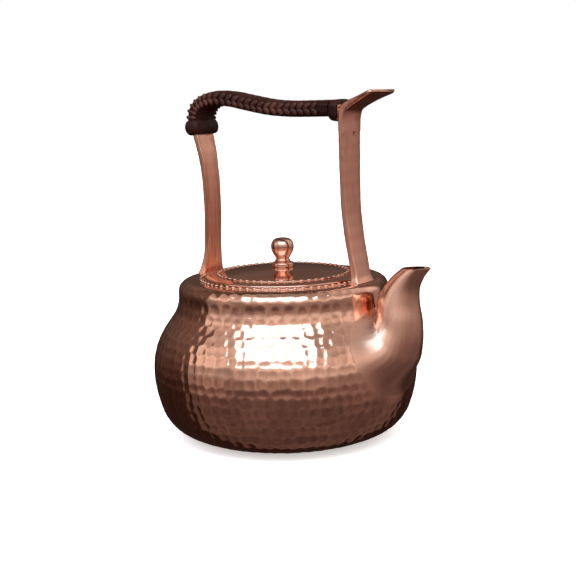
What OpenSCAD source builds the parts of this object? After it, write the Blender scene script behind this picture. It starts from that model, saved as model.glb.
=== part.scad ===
// Hammered copper kettle with a hooped strap handle, a laced leather grip
// and a lift-off lid.  Millimetres.  Z is up, +X runs toward the spout,
// the origin is the centre of the flat base.

/* [Body] */
// Largest diameter of the belly
body_d = 165; // [130:1:220]
// Height of the flat shoulder above the base
body_h = 99.4; // [80:0.1:140]
// Height of the widest point of the belly
belly_z = 44; // [30:1:60]
// Diameter of the flat base
base_d = 74; // [60:1:110]
// Distance from the middle of each handle foot out to the neck
foot_inset = 8.8; // [8:0.1:14]
// Radius of the rounded shoulder edge
shoulder_r = 6.4; // [4:0.1:10]
// Thickness of the body sheet
wall = 1.2; // [0.8:0.1:2]

/* [Mouth] */
// Diameter of the round mouth in the shoulder
mouth_d = 95; // [80:0.5:110]
// Thickness of the collar lining the mouth
collar_t = 1.2; // [0.8:0.1:2]
// Depth of the collar below the shoulder top
collar_h = 7.4; // [5:0.1:12]
// Width of the collar flange under the shoulder
collar_flange = 3.0; // [2:0.1:4]
// Gap between the lid rim and the beaded ring round it
rim_ring_gap = 0.8; // [0.4:0.1:2]
// Diameter of the beads in that ring
mouth_bead_d = 3.0; // [2:0.1:4]

/* [Lid] */
// Overlap of the lid rim over the edge of the mouth
lid_lap = 2.1; // [1.5:0.1:4]
// Height of the lid dome above its rim
lid_rise = 5.4; // [3:0.1:12]
// Thickness of the lid sheet
lid_t = 1.0; // [0.8:0.1:1.6]
// Gap under the lid rim when the lid is down
lid_seat_gap = 0.1; // [0.05:0.05:0.3]
// Radial gap between the lid collar and the mouth collar
lid_clear = 0.4; // [0.2:0.05:1]
// Thickness of the locating collar under the lid
lid_collar_t = 1.0; // [0.8:0.1:1.6]
// Depth of the locating collar below the shoulder top
lid_collar_h = 6.4; // [4:0.1:10]
// Distance of the beaded ring on the lid from the lid's edge
lid_ring_inset = 8.9; // [4:0.1:16]
// Diameter of the beads in that ring
lid_bead_d = 2.8; // [2:0.1:3.4]

/* [Knob] */
// Largest diameter of the knob
knob_d = 14.2; // [10:0.1:20]
// Height of the knob above the lid
knob_h = 18.0; // [14:0.1:26]
// Diameter of the knob stud through the lid
knob_stud_d = 4.0; // [3:0.1:6]
// Diametral clearance of the stud in its holes
knob_stud_clear = 0.1; // [0.05:0.05:0.3]
// Diameter of the burr under the lid
knob_burr_d = 12; // [9:0.5:16]
// Thickness of the burr
knob_burr_t = 1.0; // [0.6:0.1:1.6]

/* [Spout] */
// Reach of the spout tip beyond the belly
spout_over = 20.1; // [14:0.1:30]
// Height of the spout mouth above the shoulder
spout_rise = 10.6; // [4:0.1:20]
// Width of the spout root across the body
spout_root_w = 52; // [36:1:64]
// Width of the spout at mid height
spout_mid_w = 30; // [20:1:36]
// Width of the spout mouth
spout_mouth_w = 13.6; // [10:0.1:22]
// Thickness of the spout sheet
spout_t = 1.2; // [0.8:0.1:2]
// Diameter of the pouring hole as a share of the spout root's height
pour_share = 0.6; // [0.35:0.01:0.7]
// Height of the pouring hole's centre over the middle of the spout root
pour_hole_up = 2.5; // [0:0.5:3]

/* [Handle] */
// Height of the top of the grip above the base
handle_h = 207.9; // [180:0.1:240]
// Gap between each handle foot and the beaded ring round the mouth
foot_gap = 0.4; // [0.2:0.1:2]
// Thickness of the handle strap
strap_t = 4.0; // [3:0.1:6]
// Width of the front leg at the top
front_w_top = 20.6; // [16:0.2:30]
// Width of the front leg at mid height
front_w_mid = 18.6; // [14:0.2:28]
// Width of the back leg at mid height
back_w_mid = 14.6; // [12:0.2:24]
// Width of the strap under the grip
core_w = 18; // [14:0.5:24]
// Width of the front foot
front_foot_w = 18; // [15:0.2:26]
// Width of the back foot
back_foot_w = 21.4; // [15:0.2:26]
// Width of the thumb tab at its end
tab_w = 29.5; // [20:0.5:40]
// Reach of the thumb tab from the inner face of the front leg
tab_out = 25.4; // [16:0.2:34]
// Thickness of the thumb tab at its end
tab_t = 2.2; // [1.6:0.1:4]
// Width of the tang under each foot
tang_w = 11; // [8:0.5:14]
// Thickness of the tang
tang_t = 2.6; // [2:0.1:3.2]
// Clearance of the tang in its slot, all round
tang_clear = 0.1; // [0.05:0.05:0.3]
// Thickness of the burr under each foot
foot_burr_t = 1.2; // [0.8:0.1:2]
// Diameter of the two lap rivets
rivet_d = 3.0; // [2:0.1:4]
// Diametral clearance of the lap rivets
rivet_clear = 0.1; // [0.05:0.05:0.3]

/* [Grip] */
// Thickness of the grip along the top
grip_t = 9.8; // [8:0.1:16]
// Thickness of the grip at its back end
grip_back_t = 9.2; // [7:0.1:12]
// Width of the leather grip
grip_w = 22; // [19:0.1:28]
// Clearance between the leather and the strap
leather_clear = 0.15; // [0.05:0.05:0.3]
// Width of the braided lacing band
lace_w = 6.4; // [4:0.1:8]
// Height of the braid above the leather
lace_t = 1.1; // [0.6:0.1:2]
// Radius of the rolled leather at the back end
roll_back_r = 3.6; // [2:0.1:5]
// Radius of the rolled leather at the front end
roll_front_r = 3; // [1.5:0.1:4]

/* [Hidden] */
$fn = 96;
seam = 0.03;

belly_r = body_d / 2;
base_r = base_d / 2;
mouth_r = mouth_d / 2;
lid_r = mouth_r + lid_lap;
ring_r = lid_r + rim_ring_gap + mouth_bead_d / 2;   // ring round the mouth
lid_ring_r = lid_r - lid_ring_inset;                // ring on the lid
lid_collar_r = mouth_r - collar_t - lid_clear;      // collar under the lid
foot_t = strap_t + 1.6;                             // thickness of the feet
foot_x = ring_r + mouth_bead_d / 2 + foot_gap + foot_t / 2;
tang_x = foot_x - 1;
neck_r = foot_x + foot_inset;
neck_z = body_h - shoulder_r;
lid_rim_z = body_h + lid_seat_gap;
lid_top_z = lid_rim_z + lid_t + lid_rise;
knob_top_z = lid_top_z + knob_h;
grip_mid_z = handle_h - grip_t / 2;

copper = [0.78, 0.47, 0.35];
leather = [0.22, 0.10, 0.07];

// ---- curves -------------------------------------------------------
function cr(a, b, c, d, t) = 0.5 * (2 * b + (c - a) * t
  + (2 * a - 5 * b + 4 * c - d) * t * t
  + (3 * b - a - 3 * c + d) * t * t * t);
function smooth(P, n) = concat(
  [for (i = [0:len(P) - 2]) for (k = [0:n - 1])
    cr(P[max(i - 1, 0)], P[i], P[i + 1], P[min(i + 2, len(P) - 1)], k / n)],
  [P[len(P) - 1]]);
function unit(v) = v / norm(v);
function along(C, i) = unit(C[min(i + 1, len(C) - 1)] - C[max(i - 1, 0)]);
function left(C, i) = let (t = along(C, i)) [-t[1], t[0]];
function xz(C) = [for (p = C) [p[0], p[1]]];
// flat outline of a strap whose third number is its thickness
function strap(C) = let (D = xz(C)) concat(
  [for (i = [0:len(C) - 1]) D[i] + left(D, i) * C[i][2] / 2],
  [for (i = [len(C) - 1:-1:0]) D[i] - left(D, i) * C[i][2] / 2]);

// ---- body profile, [radius, height] -------------------------------
low = [[0, 0], [0.209, 0.016], [0.407, 0.048], [0.545, 0.095], [0.673, 0.159],
  [0.782, 0.25], [0.875, 0.386], [0.932, 0.545], [0.971, 0.705],
  [0.993, 0.852], [1, 1]];
high = [[0.977, 0.143], [0.901, 0.276], [0.760, 0.398], [0.567, 0.520],
  [0.338, 0.633], [0.143, 0.735], [0.036, 0.837], [0.006, 0.918], [0, 1]];
side_out = concat(
  [for (p = low) [base_r + (belly_r - base_r) * p[0], belly_z * p[1]]],
  [for (p = high) [neck_r + (belly_r - neck_r) * p[0],
    belly_z + (neck_z - belly_z) * p[1]]]);
function shoulder(r, n) = [for (i = [1:n]) let (a = 90 * i / n)
  [neck_r - shoulder_r + r * cos(a), neck_z + r * sin(a)]];
side_s = smooth(side_out, 2);
body_out = concat(side_s, shoulder(shoulder_r, 8));
side_in = [for (i = [1:len(side_s) - 1])
  side_s[i] + left(side_s, i) * wall];
body_in = concat([[base_r, wall]], [for (p = side_in) if (p[1] > wall) p],
  shoulder(shoulder_r - wall, 8));
function flip(P) = [for (i = [len(P) - 1:-1:0]) P[i]];
z_to_r = [for (p = side_s) [p[1], p[0]]];
function body_r(z) = lookup(z, z_to_r);
// the height on this body that answers to height z on the standard one,
// whose belly is at 44 and whose neck ends at 93
function on_h(z) = z < 44 ? z * belly_z / 44
  : z < 93 ? belly_z + (neck_z - belly_z) * (z - 44) / 49
  : z + neck_z - 93;

module body_solid(drop = 0) {
  rotate_extrude($fn = 180) polygon(concat([[0, -drop]],
    body_out, [[0, body_h]]));
}

// ---- handle curves, [x, z, thickness] -----------------------------
// the legs are laid out for a foot at 56.6, a shoulder at 99.4 and a grip
// top at 207.9, and follow the real foot, shoulder and grip from there
dz = handle_h - 207.9;
db = body_h - 99.4;
spread = (foot_x - strap_t / 2) / 54.6;
function leg_x(x) = (x - 2) * spread + strap_t / 2;
front_in = 48 * spread - 2 * spread + 2;  // front leg's inner face at the top
tab_reach = front_in + tab_out;
sleeve_end = front_in - 2 * roll_front_r - 0.8;
function lift(z) = z + db + (dz - db) * min(1, max(0, (z - 102) / 88));
rear_pts = [[-foot_x + 0.1, 96.2, foot_t - 0.2], [-foot_x + 0.9, 102, strap_t + 0.8],
  [-leg_x(54.6), 110, strap_t], [-leg_x(54.1), 119, strap_t],
  [-leg_x(53.4), 132, strap_t], [-leg_x(53.3), 146, strap_t],
  [-leg_x(53.9), 160, strap_t], [-leg_x(55.4), 173, strap_t],
  [-leg_x(58.0), 185, strap_t], [-leg_x(59.6), 193, strap_t],
  [-leg_x(59.8), 199, strap_t], [-leg_x(57.9), 204.6, strap_t],
  [-leg_x(52.8), 208.6, strap_t], [-44 * spread, 210.7, strap_t],
  [-33 * spread, 209.9, strap_t], [-22 * spread, 207.7, strap_t],
  [-5 * spread, 204.5, strap_t], [10 * spread, 203.2, strap_t],
  [24 * spread, 203.0, strap_t], [sleeve_end, 203.0, strap_t]];
rear_line = smooth([for (p = rear_pts)
  [p[0], p[1] > 190 ? p[1] + (grip_mid_z - 203.0) : lift(p[1]), p[2]]], 3);
tail_len = 6.6;
front_pts = [[foot_x, 96.2, foot_t], [foot_x - 0.2, 101, strap_t + 0.9],
  [leg_x(55.4), 108, strap_t + 0.2], [leg_x(53.6), 118, strap_t],
  [leg_x(52.0), 128, strap_t], [leg_x(50.6), 140, strap_t],
  [front_in + strap_t / 2, 152, strap_t],
  [front_in + strap_t / 2 - 0.1, 166, strap_t],
  [front_in + strap_t / 2 - 0.1, 180, strap_t],
  [front_in + strap_t / 2 + 0.1, 191, strap_t + 0.1],
  [front_in + strap_t / 2 + 0.3, 197.5, strap_t + 0.5],
  [front_in + strap_t / 2 + 1.6, 202.4, strap_t + 0.9],
  [front_in + strap_t / 2 + 5.4, 205.2, strap_t + 0.3],
  [front_in + tab_out * 0.512, 207.6, strap_t - 0.6],
  [front_in + tab_out * 0.764, 210.2, tab_t + 0.5],
  [tab_reach, 212.4, tab_t]];
front_line = smooth([for (p = front_pts) [p[0], lift(p[1]), p[2]]], 3);

// half widths along the height for the two legs and along x for the tab
function mirror_y(P) = concat(P, [for (p = flip(P)) [-p[0], p[1]]]);
front_half = smooth([[front_foot_w / 2, 90 + db], [front_foot_w / 2, 98 + db],
  [front_w_mid / 2 - 0.4, lift(112)], [front_w_mid / 2, lift(150)],
  [front_w_top / 2 - 0.3, lift(178)], [front_w_top / 2, lift(196)],
  [front_w_top / 2 + 0.2, lift(203)]], 3);
back_half = smooth([[back_foot_w / 2, 90 + db], [back_foot_w / 2, 97 + db],
  [back_foot_w / 2 - 1.6, lift(104)],
  [back_w_mid / 2 - 0.2, lift(117)], [back_w_mid / 2, lift(146)],
  [back_w_mid / 2 + 0.4, lift(168)], [core_w / 2, lift(186)],
  [core_w / 2, lift(230)]], 3);
tab_half = smooth([[front_in - 8, front_w_top / 2], [front_in + 4, front_w_top / 2 + 0.1],
  [front_in + 8, front_w_top / 2 + 0.5], [front_in + 15, front_w_top / 2 + 1.6],
  [tab_reach - 3.4, tab_w / 2 - 0.5], [tab_reach - 0.8, tab_w / 2],
  [tab_reach + 0.2, tab_w / 2 - 0.6]], 3);

module plate_xz(P, w) { // outline in x and z, thickness along y
  rotate([90, 0, 0]) translate([0, 0, -w / 2]) linear_extrude(w) polygon(P);
}
module across_x(P, x0, x1) { // outline in y and z, thickness along x
  translate([x0, 0, 0]) rotate([90, 0, 90]) linear_extrude(x1 - x0) polygon(P);
}
module tang_block(x, grow, z0, z1) {
  translate([x - tang_t / 2 - grow, -tang_w / 2 - grow, z0])
    cube([tang_t + 2 * grow, tang_w + 2 * grow, z1 - z0]);
}
shelf_z = body_h - wall;            // underside of the flat shoulder
burr_z = shelf_z - foot_burr_t;     // underside of a foot burr

// ---- one surface from rings of points, closed both ways -------------
module ring_mesh(R) {
  m = len(R); n = len(R[0]);
  polyhedron(points = [for (r = R) for (p = r) p],
    faces = [for (i = [0:m - 1]) for (j = [0:n - 1]) for (k = [0:1])
      let (a = i * n + j, b = i * n + (j + 1) % n,
           c = ((i + 1) % m) * n + (j + 1) % n, d = ((i + 1) % m) * n + j)
      k == 0 ? [a, b, c] : [a, c, d]], convexity = 8);
}

// ---- spout: each station is front point, back point, half width ------
// laid out for a belly of 82.5 and a neck of 65.4; the front follows the
// belly, and the back follows the neck low down and the front at the mouth
belly_out = belly_r - 82.5;
neck_out = neck_r - 65.4;
so = spout_over - 20.1;
sh = spout_rise - 10.6;
spout_reach = belly_r + spout_over;
spout_h = body_h + spout_rise;
function at(fx, fz, bx, bz, half, w) = // w runs from 0 low down to 1 at the mouth
  [fx + belly_out + so * w, on_h(fz) + sh * w,
   bx + neck_out + (belly_out - neck_out + so) * w, on_h(bz) + sh * w, half];
root_low = on_h(38.5);
root_high = on_h(78.5);
pour_hole_d = (root_high - root_low) * pour_share;
pour_hole_z = (root_low + root_high) / 2 + pour_hole_up;
stations = smooth([
  [body_r(root_low), root_low, body_r(root_high), root_high, spout_root_w / 2],
  at(88.4, 46.5, 69.9, 80.7, spout_root_w / 2 - 3.8, 0),
  at(93.0, 56, 69.6, 82.8, spout_mid_w / 2 + 4.2, 0),
  at(95.0, 66.5, 69.2, 84.9, spout_mid_w / 2 + 1.6, 0),
  at(95.0, 78, 68.9, 87.4, spout_mid_w / 2, 0.05),
  at(93.8, 88.5, 69.2, 91.2, spout_mid_w / 2 - 1.8, 0.2),
  at(94.4, 97.2, 73.4, 98.9, (spout_mid_w + spout_mouth_w) / 4 - 0.2, 0.5),
  at(97.6, 104.2, 78.2, 104.7, spout_mouth_w / 2 + 1.8, 0.8),
  [spout_reach, spout_h + 0.3, spout_reach - 18.6, spout_h - 0.5, spout_mouth_w / 2]], 3);
spout_n = 44;
function out_of_body(p) = let (rr = body_r(p[2]),
    x = sqrt(max(1, rr * rr - p[1] * p[1])) + seam) [max(p[0], x), p[1], p[2]];
function on_body(p) = let (rr = body_r(p[2]))
  [sqrt(max(1, rr * rr - p[1] * p[1])) + seam, p[1], p[2]];
function station(s, t, i) = let (c = [(s[0] + s[2]) / 2, (s[1] + s[3]) / 2],
    v = [s[2] - s[0], s[3] - s[1]] / 2, a = norm(v), e = v / a)
  [for (j = [0:spout_n - 1]) let (w = 360 * j / spout_n,
      q = c + e * (a - t) * cos(w),
      p = [q[0], (s[4] - t) * sin(w), q[1]])
    i == 0 ? on_body(p) : out_of_body(p)];
module spout_mesh() {
  m = len(stations);
  ring_mesh(concat(
    [for (i = [0:m - 1]) station(stations[i], 0, i)],
    [for (i = [m - 1:-1:0]) station(stations[i], spout_t, i)]));
}

// ---- grip: the strap line from the back end to the front roll ---------
g0 = 9 * 3 + 2;
grip_line = [for (i = [g0:len(rear_line) - 1]) rear_line[i]];
function grip_half(i) = let (f = min(1, i / 14))
  (grip_back_t + (grip_t - grip_back_t) * f) / 2;
function rounded(c, n, hu, hv, r) = // c in x,z; n the in-plane normal
  [for (q = [0:3]) for (k = [0:4]) let (a = 90 * q + 22.5 * k,
      su = (q == 0 || q == 3) ? 1 : -1, sv = q < 2 ? 1 : -1,
      u = su * (hu - r) + r * cos(a), v = sv * (hv - r) + r * sin(a))
    [c[0] + n[0] * u, v, c[1] + n[1] * u]];
module sleeve(L, from, to, grow) {
  D = xz(L);
  ring_mesh(concat(
    [for (i = [from:to]) rounded(D[i], left(D, i), grip_half(i) + grow,
      grip_w / 2 + grow, 2.2)],
    [for (i = [to:-1:from]) rounded(D[i], left(D, i),
      strap_t / 2 + leather_clear, core_w / 2 + leather_clear, 0.2)]));
}
// a fat rolled edge round the strap: c centre, n normal, t along the strap,
// r half its length, b how far it bulges over hu and hv
module rolled(c, n, t, hu, hv, r, b, hole_u, hole_v, shift = 0) {
  k = 10;
  ring_mesh([for (i = [0:k - 1]) let (a = 360 * i / k,
      g = b * cos(a), s = r * sin(a),
      cc = [c[0] + t[0] * s, c[1] + t[1] * s])
    cos(a) < -0.25
      ? rounded(cc + n * shift, n, hole_u, hole_v, 0.2)
      : rounded(cc, n, hu + g, hv + g, 3.6 + g * 0.5)]);
}

// ---- pieces -----------------------------------------------------------
module body_shell() {
  color(copper) difference() {
    rotate_extrude($fn = 180) polygon(concat([[0, 0]], body_out,
      [[mouth_r + seam, body_h], [mouth_r + seam, body_h - wall]],
      flip(body_in), [[0, wall]]));
    translate([body_r(pour_hole_z) - 20, 0, pour_hole_z])
      rotate([0, 90, 0]) cylinder(d = pour_hole_d, h = 40, $fn = 96);
    tang_block(tang_x, tang_clear, body_h - 3, body_h + 1);
    tang_block(-tang_x, tang_clear, body_h - 3, body_h + 1);
  }
}
module mouth_collar() {
  color(copper) rotate_extrude($fn = 180) polygon([
    [mouth_r - collar_t, body_h - collar_h], [mouth_r, body_h - collar_h],
    [mouth_r, shelf_z - collar_t], [mouth_r + collar_flange, shelf_z - collar_t],
    [mouth_r + collar_flange, shelf_z], [mouth_r, shelf_z],
    [mouth_r, body_h], [mouth_r - collar_t, body_h]]);
}
module mouth_bead_ring() {
  rm = ring_r; h = mouth_bead_d * 0.42;
  color(copper) rotate_extrude($fn = 180) intersection() {
    translate([rm, body_h + h]) circle(d = mouth_bead_d, $fn = 48);
    translate([rm - 5, body_h]) square([10, 10]);
  }
}
module spout() { color(copper) spout_mesh(); }
module front_leg() {
  color(copper) difference() {
    union() {
      intersection() {
        plate_xz(strap(front_line), 60);
        union() {
          intersection() {
            across_x(mirror_y(front_half), front_in - 18, foot_x + 10);
            translate([front_in - 28, -30, 80 + db])
              cube([foot_x, 60, lift(196) - 80 - db]);
          }
          translate([0, 0, lift(196) - 0.01]) linear_extrude(80)
            polygon(concat(tab_half, [for (p = flip(tab_half)) [p[0], -p[1]]]));
        }
      }
      tang_block(tang_x, 0, burr_z - 0.9, body_h + 1.5);
    }
    difference() {
      body_solid();
      tang_block(tang_x, 0, burr_z - 2, body_h + 1);
    }
    rivet_holes();
    translate([front_in + strap_t, 2, lift(188)]) rotate([0, 90, 0])
      cylinder(d = 2.4, h = 2, $fn = 32);
  }
}
module rivet_at(x0, x1, d) {
  for (s = [-1, 1]) translate([x0, s * 5.2, grip_mid_z - strap_t / 2 - 2.2])
    rotate([0, 90, 0]) cylinder(d = d, h = x1 - x0, $fn = 48);
}
module rivet_holes() { rivet_at(front_in - 8, front_in + 12, rivet_d + rivet_clear); }
module rear_bar() {
  color(copper) difference() {
    union() {
      intersection() {
        plate_xz(strap(rear_line), 60);
        across_x(mirror_y(back_half), -foot_x - 24, front_in + 12);
      }
      translate([sleeve_end - 0.1, -core_w / 2, grip_mid_z - strap_t / 2])
        cube([front_in - sleeve_end + 0.1 - seam, core_w, strap_t]);
      translate([front_in - strap_t - seam, -core_w / 2,
          grip_mid_z - strap_t / 2 - tail_len + 2])
        cube([strap_t, core_w, tail_len]);
      tang_block(-tang_x, 0, burr_z - 0.9, body_h + 1.5);
    }
    difference() {
      body_solid();
      tang_block(-tang_x, 0, burr_z - 2, body_h + 1);
    }
    rivet_holes();
  }
}
module lap_rivets() {
  color(copper) {
    rivet_at(front_in - strap_t - seam, front_in + strap_t + 0.2, rivet_d);
    rivet_at(front_in - strap_t - seam - 1, front_in - strap_t - seam, rivet_d + 0.8);
  }
}
module foot_burr(x) {
  color(copper) difference() {
    translate([x - 2.8, -tang_w / 2 - 2.5, burr_z])
      cube([5.6, tang_w + 5, foot_burr_t]);
    tang_block(x, tang_clear, burr_z - 1, shelf_z + 1);
  }
}
module front_foot_burr() { foot_burr(tang_x); }
module rear_foot_burr() { foot_burr(-tang_x); }
module grip_leather() {
  color(leather) sleeve(grip_line, 0, len(grip_line) - 1, 0);
}
module lacing(side) {
  L = [for (i = [2:len(grip_line) - 4]) [grip_line[i][0], grip_line[i][1], lace_w]];
  color(leather) translate([0, side * (grip_w / 2 + lace_t / 2), 0])
    plate_xz(strap(L), lace_t);
}
module grip_lacing_near() { lacing(-1); }
module grip_lacing_far() { lacing(1); }
module grip_roll_rear() {
  D = xz(rear_line); i = g0 - 2;
  color(leather) rolled(D[i], left(D, i), along(D, i), grip_back_t / 2 - 0.6,
    grip_w / 2 - 1.6, roll_back_r - 0.4, roll_back_r, strap_t / 2 + leather_clear + 0.2,
    core_w / 2 + leather_clear);
}
module grip_roll_front() {
  drop = tail_len - 2;              // how far the tail hangs below the bar
  c = [front_in - roll_front_r - 0.6, grip_mid_z - 1.3];
  color(leather) rolled(c, [0, 1], [1, 0], grip_t / 2 + 0.7, grip_w / 2 - 1,
    roll_front_r, 1.3, (strap_t + drop) / 2 + 0.2,
    core_w / 2 + leather_clear, 1.3 - drop / 2);
}
// lid dome surface height at radius r
function dome(r) = lid_top_z - lid_rise * pow(r / lid_r, 2);
module lid_shell() {
  hole = (knob_stud_d + knob_stud_clear) / 2;
  rr = 0.85;
  color(copper) rotate_extrude($fn = 180) polygon(concat(
    [for (i = [0:16]) let (r = hole + (lid_r - rr - hole) * i / 16) [r, dome(r)]],
    [for (i = [1:6]) let (a = 90 - 30 * i + 15)
      [lid_r - rr + rr * cos(a), lid_rim_z + rr + rr * sin(a)]],
    [[lid_r - rr, lid_rim_z], [lid_r - rr - 1.2, lid_rim_z]],
    [for (i = [15:-1:0]) let (r = hole + (lid_collar_r + 0.5 - hole) * i / 15)
      [r, dome(r) - lid_t]]));
}
module lid_bead_ring() {
  rl = lid_ring_r; h = lid_bead_d * 0.42;
  color(copper) rotate_extrude($fn = 180) difference() {
    translate([rl, dome(rl) + h]) circle(d = lid_bead_d, $fn = 48);
    polygon(concat([for (i = [0:16]) let (r = rl - 4 + i / 2) [r, dome(r)]],
      [[rl + 4, dome(rl) - 6], [rl - 4, dome(rl) - 6]]));
  }
}
module lid_collar() {
  ro = lid_collar_r; ri = ro - lid_collar_t;
  color(copper) rotate_extrude($fn = 180) polygon([[ri, body_h - lid_collar_h],
    [ro, body_h - lid_collar_h], [ro, dome(ro) - lid_t - seam],
    [ri, dome(ri) - lid_t - seam]]);
}
module lid_knob() {
  s = knob_h / 18; k = knob_d / 14.2; t = lid_top_z;
  foot = 7.0 * k;
  under = lid_top_z - lid_t - knob_burr_t;
  pts = smooth([[4.3, 4.5], [4.1, 4.9], [4.3, 5.5], [4.9, 6.5], [5.8, 8.0], [6.55, 9.6],
    [7.0, 11.4], [7.1, 13.1], [6.7, 14.9], [5.8, 16.4], [4.3, 17.5],
    [2.4, 17.95], [0, 18]], 3);
  color(copper) rotate_extrude($fn = 96) polygon(concat(
    [[0, under - 0.9], [knob_stud_d / 2 + 0.8, under - 0.9],
     [knob_stud_d / 2 + 1.0, under - seam], [knob_stud_d / 2, under - seam],
     [knob_stud_d / 2, t + 0.03], [foot - 0.2, t + 0.03], [foot, t + 0.3],
     [foot, t + 2.0 * s], [foot - 0.4, t + 2.5 * s], [6.0 * k, t + 2.9 * s],
     [5.0 * k, t + 3.3 * s], [4.4 * k, t + 3.6 * s], [4.75 * k, t + 3.9 * s],
     [4.75 * k, t + 4.2 * s]],
    [for (p = pts) [p[0] * k, t + p[1] * s]]));
}
module knob_burr() {
  color(copper) translate([0, 0, lid_top_z - lid_t - knob_burr_t - 0.0])
    difference() {
      cylinder(d = knob_burr_d, h = knob_burr_t - 0.1, $fn = 96);
      translate([0, 0, -1]) cylinder(d = knob_stud_d + knob_stud_clear,
        h = 4, $fn = 48);
    }
}

body_shell();
mouth_collar();
mouth_bead_ring();
spout();
front_leg();
rear_bar();
lap_rivets();
front_foot_burr();
rear_foot_burr();
grip_leather();
grip_lacing_near();
grip_lacing_far();
grip_roll_rear();
grip_roll_front();
lid_shell();
lid_bead_ring();
lid_collar();
lid_knob();
knob_burr();
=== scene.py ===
import math
import random

import bmesh
import bpy
import numpy as np
from mathutils import Matrix, Vector


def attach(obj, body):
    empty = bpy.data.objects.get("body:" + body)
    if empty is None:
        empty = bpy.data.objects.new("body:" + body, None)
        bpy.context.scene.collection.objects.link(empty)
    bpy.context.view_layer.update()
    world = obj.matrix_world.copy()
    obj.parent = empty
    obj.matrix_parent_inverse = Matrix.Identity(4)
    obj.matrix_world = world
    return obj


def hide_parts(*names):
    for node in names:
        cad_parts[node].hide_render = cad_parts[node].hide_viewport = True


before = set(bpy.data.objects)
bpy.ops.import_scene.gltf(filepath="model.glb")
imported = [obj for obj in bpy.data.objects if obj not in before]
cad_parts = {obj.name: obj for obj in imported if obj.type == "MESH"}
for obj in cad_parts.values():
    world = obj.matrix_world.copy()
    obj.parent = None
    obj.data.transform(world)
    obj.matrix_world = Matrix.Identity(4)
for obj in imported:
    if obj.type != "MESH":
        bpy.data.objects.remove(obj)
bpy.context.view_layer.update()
MM = 0.001


# ---------------------------------------------------------------- curves
def curve(points, steps):
    """A smooth line through the points, with so many steps between each two."""
    P = [np.array(p, float) for p in points]
    line = []
    for i in range(len(P) - 1):
        a, b, c, d = P[max(i - 1, 0)], P[i], P[i + 1], P[min(i + 2, len(P) - 1)]
        for k in range(steps):
            t = k / steps
            line.append(0.5 * (2 * b + (c - a) * t + (2 * a - 5 * b + 4 * c - d) * t * t
                               + (3 * b - a - 3 * c + d) * t ** 3))
    line.append(P[-1])
    return np.array(line)


def lengths(line):
    """Distance along the line at each of its points; only the first two numbers count."""
    return np.concatenate([[0], np.cumsum(np.linalg.norm(np.diff(line[:, :2], axis=0), axis=1))])


def even(line, step):
    """The same line with its points an even step apart."""
    s = lengths(line)
    at = np.linspace(0, s[-1], int(round(s[-1] / step)) + 1)
    return np.stack([np.interp(at, s, line[:, k]) for k in range(line.shape[1])], 1)


def smoothstep(a, b, x):
    t = np.clip((np.asarray(x, float) - a) / (b - a), 0, 1)
    return t * t * (3 - 2 * t)


# ---------------------------------------------------------------- pieces
def finish_piece(bm, name, body, material, replaces=(), crease=50, outward=True):
    """Turns a bmesh in millimetres into a named piece in metres that rides on a body."""
    bmesh.ops.remove_doubles(bm, verts=bm.verts, dist=0.0005)
    if outward:
        bmesh.ops.recalc_face_normals(bm, faces=bm.faces)
    for face in bm.faces:
        face.smooth = True
    for edge in bm.edges:
        if len(edge.link_faces) == 2 and edge.calc_face_angle(0) > math.radians(crease):
            edge.smooth = False
    bmesh.ops.scale(bm, verts=bm.verts, vec=(MM, MM, MM))
    mesh = bpy.data.meshes.new(name)
    bm.to_mesh(mesh)
    bm.free()
    piece = bpy.data.objects.new(name, mesh)
    bpy.context.scene.collection.objects.link(piece)
    mesh.materials.append(material)
    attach(piece, body)
    if replaces:
        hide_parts(*replaces)
    return piece


def chain(bm, points):
    """A chain of edges through points given as x and z."""
    verts = [bm.verts.new((p[0], 0, p[1])) for p in points]
    return verts, [bm.edges.new(pair) for pair in zip(verts, verts[1:])]


def turned(profile, steps):
    """A body turned from its profile, radius and height."""
    bm = bmesh.new()
    verts, edges = chain(bm, profile)
    bmesh.ops.spin(bm, geom=verts + edges, cent=(0, 0, 0), axis=(0, 0, 1),
                   angle=math.tau, steps=steps, use_merge=True)
    bmesh.ops.remove_doubles(bm, verts=bm.verts, dist=0.002)
    return bm


def drawn(rings, caps=True, join=False):
    """A skin drawn through rings of points, each ring an extrusion of the last.
    caps closes both ends; join bridges the last ring back to the first."""
    bm = bmesh.new()
    verts = [bm.verts.new(p) for p in rings[0]]
    edges = first = [bm.edges.new(pair) for pair in zip(verts, verts[1:] + verts[:1])]
    if caps:
        bm.faces.new(verts)
    for ring in rings[1:]:
        out = bmesh.ops.extrude_edge_only(bm, edges=edges)["geom"]
        fresh = {g for g in out if isinstance(g, bmesh.types.BMVert)}
        verts = [next(e.other_vert(v) for e in v.link_edges if e.other_vert(v) in fresh) for v in verts]
        for v, p in zip(verts, ring):
            v.co = p
        edges = [bm.edges.get(pair) for pair in zip(verts, verts[1:] + verts[:1])]
    if caps:
        bm.faces.new(verts)
    if join:
        bmesh.ops.bridge_loops(bm, edges=edges + first)
    return bm


def frames(line):
    """Tangent and left normal, in x and z, at each point of a line."""
    t = np.gradient(line[:, :2], axis=0)
    t /= np.linalg.norm(t, axis=1)[:, None]
    return t, np.stack([-t[:, 1], t[:, 0]], 1)


def strap_ring(centre, normal, thick, width, radius, crown=0.0, corner=4):
    """A strap's cross-section with rounded edges: thick along normal, width across."""
    ring = []
    hu, hv = thick / 2, width / 2
    for q in range(4):
        for k in range(corner + 1):
            a = math.radians(90 * q + 90 * k / corner)
            su = 1 if q in (0, 3) else -1
            sv = 1 if q < 2 else -1
            u = su * (hu - radius) + radius * math.cos(a)
            v = sv * (hv - radius) + radius * math.sin(a)
            u += math.copysign(crown * (1 - min(1, abs(v) / hv) ** 2), u)
            ring.append((centre[0] + normal[0] * u, v, centre[1] + normal[1] * u))
    return ring


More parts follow.
